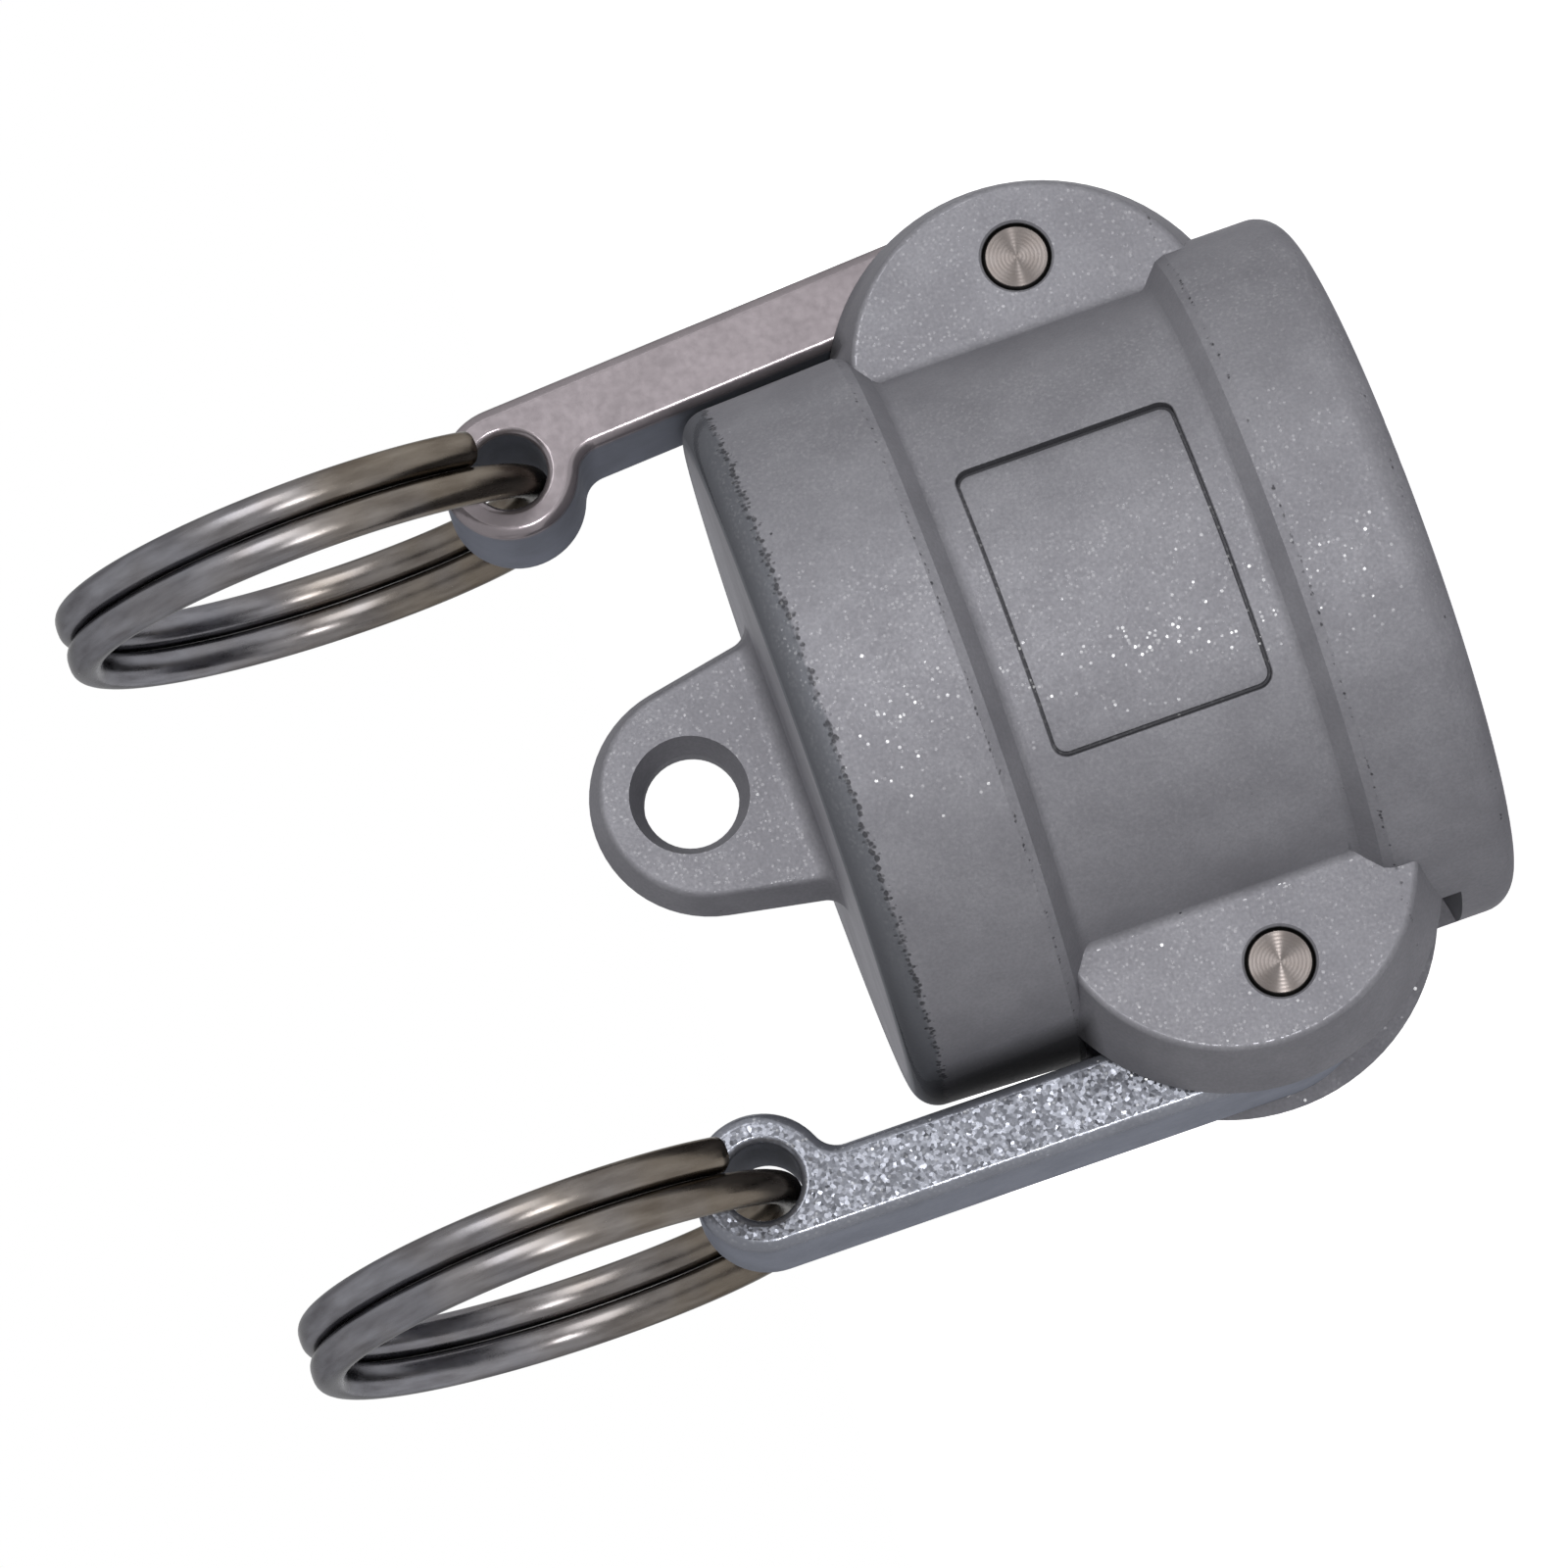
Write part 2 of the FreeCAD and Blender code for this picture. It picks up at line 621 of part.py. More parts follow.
# Cam arm: cam, shank and eye in one casting, closed against the cap with a lean of its own
def make_arm(label, side, lean):
    body = new_body(label)
    outline = new_sketch(body, "arm_outline")
    arm_outline(outline, side)
    blank = pad(body, "blank", outline, size("arm_thickness"))
    doc.recompute()
    front = size("arm_front") * side

    def is_neck(edge):
        upright = isinstance(edge.Curve, Part.Line) and near(edge.Length, size("arm_thickness"))
        low = edge.CenterOfMass.z < size("eye_distance").value / 2
        return upright and near(edge.CenterOfMass.x, front) and low

    def is_throat(edge):
        upright = isinstance(edge.Curve, Part.Line) and near(edge.Length, size("arm_thickness"))
        high = edge.CenterOfMass.z > size("eye_distance").value / 2
        return upright and near(edge.CenterOfMass.x, front) and high
    neck = edges_where(blank, is_neck)
    shape = dress(body, "Fillet", "neck", blank, neck, size("arm_neck_radius"))
    throat = edges_where(shape, is_throat)
    shape = dress(body, "Fillet", "throat", shape, throat, size("arm_throat_radius"))
    half = size("arm_thickness") / 2

    def is_outline(edge):
        return near(abs(edge.CenterOfMass.y), half) and edge.BoundBox.YLength < SLACK
    shape = dress(body, "Fillet", "edges", shape, edges_where(shape, is_outline),
                  size("arm_edge_radius"))
    bores = new_sketch(body, "bore_places")
    draw_circle(bores, term(0), term(0), pin_radius + size("pin_running_clearance"))
    draw_circle(bores, eye_x * side, size("eye_distance"), size("eye_hole_diameter") / 2)
    shape = pocket(body, "bores", bores, size("arm_thickness") * 2)
    doc.recompute()
    hole = size("eye_hole_diameter") / 2
    rims = edges_where(shape, lambda edge: is_circle(edge, hole, y=half))
    body.Tip = dress(body, "Fillet", "eye_rims", shape, rims, size("eye_rim_radius"))
    body.Placement = FreeCAD.Placement(
        FreeCAD.Vector(pin_x.value * side, 0, pin_z.value),
        FreeCAD.Rotation(FreeCAD.Vector(0, 1, 0), -side * size(lean).value))
    body.setExpression(".Placement.Base.x", (pin_x * side).text)
    body.setExpression(".Placement.Base.z", pin_z.text)
    body.setExpression(".Placement.Rotation.Angle", (-size(lean) * side).text)
    return body


def eye_centre(side, lean):
    """The middle of an arm's eye in the cap's frame."""
    offset = FreeCAD.Vector(eye_x.value * side, 0, size("eye_distance").value)
    turn = FreeCAD.Rotation(FreeCAD.Vector(0, 1, 0), -side * size(lean).value)
    pin = FreeCAD.Vector(pin_x.value * side, 0, pin_z.value)
    return pin + turn.multVec(offset)


# Pull ring: round wire wound in two turns, threaded through the eye by its middle
def make_ring(label, side, lean, turn):
    body = new_body(label)
    wire_section = new_sketch(body, "wire_section")
    draw_circle(wire_section, size("ring_radius"), term(0), size("wire_diameter") / 2)
    gap = size("ring_first_gap") + size("ring_last_gap")
    turns = term(WHOLE_TURNS) - gap / 360
    pitch = size("wire_diameter") + size("ring_turn_gap")
    coil = feature_of(body, "AdditiveHelix", "coil", wire_section)
    coil.ReferenceAxis = (wire_section, ["V_Axis"])
    coil.Mode = "pitch-turns-angle"
    coil.setExpression("Pitch", pitch.text)
    coil.setExpression("Turns", turns.text)
    doc.recompute()
    body.Tip = coil

    # The wire rests in the eye, and the coil's axis lies along -X, turned a little about Z
    wire_radius = size("wire_diameter").value / 2
    reach = size("eye_hole_diameter").value / 2 - wire_radius - size("ring_seat_clearance").value
    shift = size("ring_shift").value
    drop = math.sqrt(reach * reach - shift * shift)
    start = math.radians(size("ring_first_gap").value)
    advance = pitch.value * (1 - size("ring_first_gap").value / 360)
    centre = FreeCAD.Vector(advance - shift, 0, size("ring_radius").value - drop)
    first = FreeCAD.Vector(0, -math.sin(start), -math.cos(start))
    along = FreeCAD.Vector(-1, 0, 0)
    lie = FreeCAD.Rotation(first, along.cross(first), along, "ZXY")
    swing = FreeCAD.Rotation(FreeCAD.Vector(0, 0, 1), -size(turn).value)
    body.Placement = FreeCAD.Placement(
        eye_centre(side, lean) + swing.multVec(centre), swing.multiply(lie))
    return body


cap_body = make_cap_body()
gasket = make_gasket()
right_pin = make_pin("right_pivot_pin", 1)
left_pin = make_pin("left_pivot_pin", -1)
right_arm = make_arm("right_cam_arm", 1, "right_arm_lean")
left_arm = make_arm("left_cam_arm", -1, "left_arm_lean")
right_ring = make_ring("right_pull_ring", 1, "right_arm_lean", "right_ring_turn")
left_ring = make_ring("left_pull_ring", -1, "left_arm_lean", "left_ring_turn")
doc.recompute()
parts = [cap_body, gasket, right_pin, left_pin, right_arm, left_arm, right_ring, left_ring]

for item in doc.Objects:
    if "Invalid" in item.State or "Error" in item.State:
        raise RuntimeError("failed: " + item.Label)
os.makedirs("parts", exist_ok=True)
for item in parts:
    shape = item.Shape
    if shape.isNull() or not shape.isValid() or len(shape.Solids) != 1:
        raise RuntimeError("bad shape: " + item.Label)
    print(item.Label, round(shape.Volume, 2), shape.optimalBoundingBox())
for item in parts:
    item.Shape.exportStep("parts/%s.step" % item.Label)
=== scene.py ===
"""Looks of the cam and groove dust cap: cast and blasted steel, turned pins, wire rings, rubber.

The cap stands on its mouth, Z up, in metres. The camera lies over on its side, so that the
picture shows the cap with its axis nearly level.
"""
import json
import math

import bpy
from mathutils import Matrix, Vector


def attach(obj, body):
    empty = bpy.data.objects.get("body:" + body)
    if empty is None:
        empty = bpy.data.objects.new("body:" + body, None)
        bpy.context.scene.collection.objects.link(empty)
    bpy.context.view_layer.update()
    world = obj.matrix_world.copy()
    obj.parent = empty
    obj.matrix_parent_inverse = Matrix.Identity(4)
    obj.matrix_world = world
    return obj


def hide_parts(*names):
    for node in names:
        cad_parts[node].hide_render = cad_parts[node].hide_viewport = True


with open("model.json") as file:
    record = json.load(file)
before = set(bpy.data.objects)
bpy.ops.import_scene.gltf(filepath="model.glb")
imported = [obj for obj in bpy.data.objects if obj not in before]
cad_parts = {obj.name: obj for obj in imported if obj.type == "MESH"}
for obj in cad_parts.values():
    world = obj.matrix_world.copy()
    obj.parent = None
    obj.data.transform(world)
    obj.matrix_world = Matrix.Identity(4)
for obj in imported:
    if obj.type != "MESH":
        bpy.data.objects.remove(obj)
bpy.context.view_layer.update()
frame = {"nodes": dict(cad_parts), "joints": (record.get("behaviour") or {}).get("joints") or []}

MM = 0.001
WHITE = (1.0, 1.0, 1.0)

# Camera: where it looks, how far away it stands, its roll, its lens and how near and far it sees
LOOK_AT = Vector((-0.72, 0.0, 38.36)) * MM
CAMERA_AZIMUTH = math.radians(-13.01)
CAMERA_ELEVATION = math.radians(1.857)
CAMERA_ROLL = math.radians(109.453)
CAMERA_DISTANCE = 488.35 * MM
CAMERA_LENS = 191.1
CAMERA_SENSOR = 36.0
CAMERA_NEAR = 0.01
CAMERA_FAR = 20.0

# Light: the world's fill, and lamps as (name, towards the picture's right, up and back,
# distance, size, power, seen in reflections)
FILL_COLOUR = (0.93, 0.96, 1.0)
FILL_STRENGTH = 0.1
LAMPS = [
    ("flash", (0.075, 0.03, 0.99), 0.48, 0.024, 0.6, True),
    ("key_light", (-0.36, 0.44, 0.82), 0.8, 0.4, 2.5, True),
    ("back_light_high", (0.0, 0.5, -0.87), 0.8, 0.5, 2.2, False),
    ("back_light_low", (-0.1, -0.5, -0.87), 0.8, 0.5, 2.2, False),
    ("end_light", (-0.55, 0.0, -0.84), 0.8, 0.5, 1.4, False),
]

# Floor: its half width, how far it lies under the mouth, and its colour and glow
FLOOR_HALF = 3.0
FLOOR_DROP = 0.02 * MM
FLOOR_COLOUR = 0.86
FLOOR_GLOW = 0.93

# Places on the cap, as in the CAD
WAIST_RADIUS = 20.1 * MM
PANEL_MIDDLE = 17.45 * MM
PANEL_HALF_LENGTH = 6.55 * MM
PANEL_HALF_ANGLE = math.radians(26.2)
PANEL_CORNER = 0.9 * MM
CAP_LENGTH = 37.3 * MM
END_CORNER = 1.7 * MM
END_BAND_LOW = 27.1 * MM
MOUTH_BAND_WIDTH = 7.8 * MM
PIN_RADIUS = 2.0 * MM
PIN_CHAMFER = 0.2 * MM

# Where looks change on the cap, as the places at which a change starts and ends: from the bore
# to the outside, from the waist to a band, to the closed end's corner, to the ears, to what
# lies under an arm, and to the closed end's face, which is the one that faces up there
OUTSIDE_FROM = (18.5 * MM, 19.0 * MM)
BAND_FROM = (20.9 * MM, 21.1 * MM)
CORNER_RADIUS_FROM = (19.0 * MM, 20.0 * MM)
CORNER_HEIGHT_FROM = (CAP_LENGTH - END_CORNER - 0.1 * MM, CAP_LENGTH - END_CORNER + 0.15 * MM)
EARS_FROM = (18.8 * MM, 19.3 * MM)
UNDER_ARM_FROM = (20.8 * MM, 21.5 * MM)
UNDER_ARM_HEIGHT_FROM = (END_BAND_LOW - 0.8 * MM, END_BAND_LOW)
END_FACE_WITHIN = (0.04 * MM, 0.12 * MM)
FACES_UP_FROM = (0.8, 0.9)

# Values between which noise lies nearly everywhere, for most of its area and for about half
NEARLY_ALL = (0.3, 0.7)
MOST = (0.36, 0.64)
ABOUT_HALF = (0.42, 0.58)
# Ends of a mask that rises and of one that falls
RISING = (0.0, 1.0)
FALLING = (1.0, 0.0)

# All finishes: how strongly they reflect as a varnish would, and their ragged patches' noise
SPECULAR_LEVEL = 0.05
MOTTLE_DETAIL = 5.0
MOTTLE_ROUGHNESS = 0.6

# Sparkle: how far into its cell a bright dot reaches, and which faces have dots, by how much
# they face front or back
DOT_WITHIN = (0.3, 0.42)
DOTS_FACING = (0.5, 0.8)

# Casting: its two greys, its fine grain, and how dull and how metallic its skin is
CAST_GRAZING = 0.15
CAST_GREYS = ((0.235, 0.232, 0.253), (0.275, 0.272, 0.295))
CAST_MOTTLE = 4.0 * MM
CAST_GRAIN = 0.2 * MM
CAST_GRAIN_GREY = (0.18, 0.18, 0.2)
CAST_GRAIN_SHARE = 0.3
CAST_ROUGHNESS = (0.57, 0.65)
CAST_METALLIC = 0.5
DULL_METALLIC = 0.12
# Its lumps and its grain, as (grain, detail, depth), and its sparkle
CAST_LUMPS = [(2.6 * MM, 1.0, 0.03 * MM)]
CAST_GRAIN_RELIEF = [(0.22 * MM, 2.0, 0.008 * MM)]
CAST_DOTS = 0.27 * MM
CAST_DOT_PATCHES = 4.6 * MM
CAST_DOT_TILT = (0.45, 0.17)
CAST_DOT_WEIGHT = 0.6
CAST_DOT_ROUGHNESS = 0.19

# Pits: how far apart they lie, the patches that have them, their radius there as a share of their
# distance, their soft edge, depth, grey and strength. The grey and strength also darken the ragged
# lines along the edges and paint shade along the foot of the panel's walls.
PIT_GRAIN = 2.3 * MM
PIT_PATCHES = 3.1 * MM
PIT_PATCH_SPAN = (0.5, 0.75)
PIT_RADIUS = (-0.02, 0.06)
PIT_EDGE = 0.02
PIT_DEPTH = 0.05 * MM
PIT_AND_SHADE_GREY = (0.055, 0.055, 0.061)
PIT_AND_SHADE_SHARE = 0.85

# Ragged lines along the edges, as (height, half width, strength), with the waves that they
# follow, the gaps that break them, and the dots that they are made of
EDGE_LINES = [
    (CAP_LENGTH - END_CORNER, 0.5 * MM, 1.0),
    (0.5 * MM, 0.3 * MM, 0.9),
    (END_BAND_LOW + 0.3 * MM, 0.2 * MM, 0.6),
    (MOUTH_BAND_WIDTH - 0.3 * MM, 0.2 * MM, 0.6),
]
WAVE_GRAIN = 1.7 * MM
WAVE_DETAIL = 3.0
WAVE_REACH = (-0.12 * MM, 0.12 * MM)
BREAK_GRAIN = 1.4 * MM
BREAK_DETAIL = 5.0
BREAK_ROUGHNESS = 0.65
BREAK_SPAN = (0.34, 0.54)
BREAK_STRENGTH = (0.5, 1.0)
LINE_DOTS = 0.34 * MM
LINE_DOT_GROWTH = 0.75
LINE_DOT_EDGE = (-0.25, 0.05)
LINE_ENDS = (0.0, 0.3)

# Painted shade along the foot of the panel's walls, in the recess: how far inside its outline, and
# its half width
PANEL_SHADE_INSIDE = 0.06 * MM
PANEL_SHADE_HALF = (0.07 * MM, 0.14 * MM)

# Painted shade: on the closed end's rounded corner, on the band under the arms, and in the gap round
# the pins
CORNER_SHADE_GREY = (0.125, 0.13, 0.145)
CORNER_SHADE_SHARE = 0.9
UNDER_ARM_SHADE_GREY = (0.022, 0.022, 0.023)
UNDER_ARM_SHADE_SHARE = 0.85
PIN_GAP_SHADE_GREY = (0.012, 0.012, 0.012)
PIN_GAP_SHADE_UNTIL = (PIN_RADIUS + 0.04 * MM, PIN_RADIUS + 0.1 * MM)
# How much lighter the closed end is than the rest, because it is duller
END_FACE_LIGHTER = (1.55, 1.55, 1.55)

# Rubbed rims of the ears: between which directions they lie, the specks, and how much glossier
RIM_FACING_FROM = (0.88, 0.94)
RIM_FACING_UNTIL = (0.985, 0.995)
RIM_SPECKS = 0.3 * MM
RIM_SPECK_SPAN = (0.42, 0.52)
RIM_GLOSS = 0.3

# Arms: material's name, colour of the faces and of the sides, roughness of the faces, coarse. The
# sides' bluer colour is a painted reflection of bluish surroundings, and on the right arm it is also
# darker, as painted shade.
ARMS = {
    "right": ("arm_steel_smooth", (0.26, 0.232, 0.245), (0.2, 0.212, 0.255), (0.48, 0.58), False),
    "left": ("arm_steel_coarse", (0.22, 0.228, 0.26), (0.24, 0.254, 0.304), (0.26, 0.36), True),
}
ARM_METALLIC = 0.6
ARM_GRAZING = 0.35
ARM_MOTTLE = 3.6 * MM
ARM_FACE_DARKER = 0.86
ARM_SIDE_DARKER = 0.84
ARM_FACES_FROM = (0.986, 0.994)
ARM_SIDES_UNTIL = (0.05, 0.4)
ARM_SATIN = 0.5 * MM
ARM_SATIN_DETAIL = 3.0
ARM_SATIN_SPAN = (0.35, 0.65)
ARM_SIDE_ROUGHNESS = 0.62
ARM_RIM_ROUGHNESS = 0.23
ARM_RELIEF = [(1.9 * MM, 1.0, 0.016 * MM), (0.45 * MM, 1.0, 0.008 * MM), (0.2 * MM, 2.0, 0.003 * MM)]
COARSE_FACETS = 0.22 * MM
COARSE_TILT = (0.06, 0.62)
COARSE_DOTS = 0.25 * MM
COARSE_DOT_TILT = 0.75
COARSE_DOT_WEIGHT = 1.0
COARSE_DOT_ROUGHNESS = 0.2

# Pins: turned rings round the axis, and painted shade on the chamfer, where the gap round the pin
# lies
PIN_METALLIC = 0.9
PIN_ROUGHNESS = 0.27
PIN_GRAZING = 0.4
PIN_ANISOTROPIC = 0.95
PIN_ANISOTROPIC_TURN = 0.25
PIN_GREYS = ((0.125, 0.107, 0.099), (0.185, 0.168, 0.163))
PIN_MOTTLE = 0.9 * MM
PIN_MOTTLE_DETAIL = 3.0
PIN_RINGS = 0.23 * MM
PIN_RING_PATCHES = 0.5 * MM
PIN_RING_DEPTH = 0.003 * MM
PIN_CHAMFER_SHADE_GREY = (0.02, 0.019, 0.018)
PIN_CHAMFER_SHADE_FROM = (PIN_RADIUS - PIN_CHAMFER, PIN_RADIUS - PIN_CHAMFER + 0.05 * MM)

# Ring wire: brown near the eye and bluer away from it, with streaks along it
WIRE_METALLIC = 1.0
WIRE_GRAZING = 0.45
WIRE_BROWNS = ((0.098, 0.081, 0.065), (0.178, 0.155, 0.13))
WIRE_BLUES = ((0.115, 0.112, 0.122), (0.205, 0.205, 0.224))
WIRE_BLUE_FROM = (52 * MM, 70 * MM)
WIRE_BLUE_GRAIN = 5.0 * MM
WIRE_BLUE_REACH = (-4 * MM, 4 * MM)
WIRE_STREAKS = (46.0, 10.0, 1.0)
WIRE_STREAK_DETAIL = 4.0
WIRE_STREAK_DEPTH = 0.004 * MM
WIRE_ROUGHNESS = (0.22, 0.34)
WIRE_RELIEF = [(0.4 * MM, 2.0, 0.003 * MM)]

# Rubber: black with a bloom, dull, and finely grained
RUBBER_METALLIC = 0.0
RUBBER_GRAZING = 1.0
RUBBER_BLACKS = ((0.013, 0.013, 0.014), (0.034, 0.034, 0.036))
RUBBER_BLOOM = 1.6 * MM
RUBBER_BLOOM_DETAIL = 4.0
RUBBER_BLOOM_ROUGHNESS = 0.6
RUBBER_BLOOM_SPAN = (0.4, 0.7)
RUBBER_ROUGHNESS = (0.5, 0.75)
RUBBER_RELIEF = [(0.2 * MM, 3.0, 0.01 * MM)]

# Pull rings: round wire in two turns, which spreads to fill the gap between the turns
RING_RADIUS = 14.2 * MM
WIRE_RADIUS = 1.0 * MM
RING_PITCH = 2.2 * MM
WHOLE_TURNS = 2
RING_FIRST_GAP = math.radians(39.5)
RING_LAST_GAP = math.radians(30.0)
RING_SHIFT = 0.3 * MM
EYE_HOLE_RADIUS = 2.25 * MM
RING_SEAT_CLEARANCE = 0.1 * MM
RING_TURN = {"right": math.radians(6.6), "left": math.radians(1.8)}
TURN_GAP = 0.03 * MM
SPREAD_FROM = math.radians(18.0)
SPREAD_OVER = math.radians(24.0)
ROUND_POWER = 2
FLAT_POWER = 2.7
WIRE_STEPS = 288
WIRE_SIDES = 32
WIRE_END_BEVEL = 0.14


def camera_axes():
    """The camera's right, up and back directions."""
    flat = math.cos(CAMERA_ELEVATION)
    back = Vector((math.sin(CAMERA_AZIMUTH) * flat, -math.cos(CAMERA_AZIMUTH) * flat,
                   math.sin(CAMERA_ELEVATION)))
    level = Vector((math.cos(CAMERA_AZIMUTH), math.sin(CAMERA_AZIMUTH), 0.0))
    upright = back.cross(level)
    right = math.cos(CAMERA_ROLL) * level - math.sin(CAMERA_ROLL) * upright
    up = math.sin(CAMERA_ROLL) * level + math.cos(CAMERA_ROLL) * upright
    return right, up, back


def add_camera():
    data = bpy.data.cameras.new("camera")
    data.lens = CAMERA_LENS
    data.sensor_width = CAMERA_SENSOR
    data.clip_start = CAMERA_NEAR
    data.clip_end = CAMERA_FAR
    camera = bpy.data.objects.new("camera", data)
    bpy.context.scene.collection.objects.link(camera)
    right, up, back = camera_axes()
    turn = Matrix((right, up, back)).transposed()
    camera.matrix_world = Matrix.Translation(LOOK_AT + back * CAMERA_DISTANCE) @ turn.to_4x4()
    bpy.context.scene.camera = camera


def add_lamp(name, toward, distance, size, power, mirrored):
    """A square lamp on the side that toward gives, in the picture's right, up and back."""
    data = bpy.data.lights.new(name, "AREA")
    data.shape = "SQUARE"
    data.size = size
    data.energy = power
    lamp = bpy.data.objects.new(name, data)
    lamp.visible_glossy = mirrored
    bpy.context.scene.collection.objects.link(lamp)
    right, up, back = camera_axes()
    direction = (right * toward[0] + up * toward[1] + back * toward[2]).normalized()
    lamp.matrix_world = (Matrix.Translation(LOOK_AT + direction * distance)
                         @ direction.to_track_quat("Z", "Y").to_matrix().to_4x4())


def seen_or_mirrored(nodes, links):
    """1 where a ray comes from the camera, a reflection or a transmission, and 0 elsewhere."""
    path = nodes.new("ShaderNodeLightPath")
    either = nodes.new("ShaderNodeMath")
    either.operation = "MAXIMUM"
    any_of = nodes.new("ShaderNodeMath")
    any_of.operation = "MAXIMUM"
    links.new(path.outputs["Is Camera Ray"], either.inputs[0])
    links.new(path.outputs["Is Glossy Ray"], either.inputs[1])
    links.new(either.outputs[0], any_of.inputs[0])
    links.new(path.outputs["Is Transmission Ray"], any_of.inputs[1])
    return any_of.outputs[0]


def add_world():
    """White to the camera and in reflections, and a plain grey light on the object."""
    world = bpy.data.worlds.new("studio")
    bpy.context.scene.world = world
    world.use_nodes = True
    nodes = world.node_tree.nodes
    links = world.node_tree.links
    nodes.clear()
    output = nodes.new("ShaderNodeOutputWorld")
    white = nodes.new("ShaderNodeBackground")
    white.inputs["Color"].default_value = (*WHITE, 1.0)
    white.inputs["Strength"].default_value = 1.0
    fill = nodes.new("ShaderNodeBackground")
    fill.inputs["Color"].default_value = (*FILL_COLOUR, 1.0)
    fill.inputs["Strength"].default_value = FILL_STRENGTH
    mix = nodes.new("ShaderNodeMixShader")
    links.new(seen_or_mirrored(nodes, links), mix.inputs["Fac"])
    links.new(fill.outputs[0], mix.inputs[1])
    links.new(white.outputs[0], mix.inputs[2])
    links.new(mix.outputs[0], output.inputs["Surface"])


def add_floor():
    """A pale floor that glows to the camera until it is white, apart from the cap's shadow."""
    mesh = bpy.data.meshes.new("floor")
    corners = [(-FLOOR_HALF, -FLOOR_HALF), (FLOOR_HALF, -FLOOR_HALF),
               (FLOOR_HALF, FLOOR_HALF), (-FLOOR_HALF, FLOOR_HALF)]
    mesh.from_pydata([(x, y, -FLOOR_DROP) for x, y in corners], [], [(0, 1, 2, 3)])
    floor = bpy.data.objects.new("floor", mesh)
    bpy.context.scene.collection.objects.link(floor)
    material = bpy.data.materials.new("floor")
    material.use_nodes = True
    nodes = material.node_tree.nodes
    links = material.node_tree.links
    nodes.clear()
    output = nodes.new("ShaderNodeOutputMaterial")
    diffuse = nodes.new("ShaderNodeBsdfDiffuse")
    diffuse.inputs["Color"].default_value = (FLOOR_COLOUR, FLOOR_COLOUR, FLOOR_COLOUR, 1.0)
    glow = nodes.new("ShaderNodeEmission")
    strength = nodes.new("ShaderNodeMath")
    strength.operation = "MULTIPLY"
    strength.inputs[1].default_value = FLOOR_GLOW
    both = nodes.new("ShaderNodeAddShader")
    links.new(seen_or_mirrored(nodes, links), strength.inputs[0])
    links.new(strength.outputs[0], glow.inputs["Strength"])
    links.new(diffuse.outputs[0], both.inputs[0])
    links.new(glow.outputs[0], both.inputs[1])
    links.new(both.outputs[0], output.inputs["Surface"])
    mesh.materials.append(material)


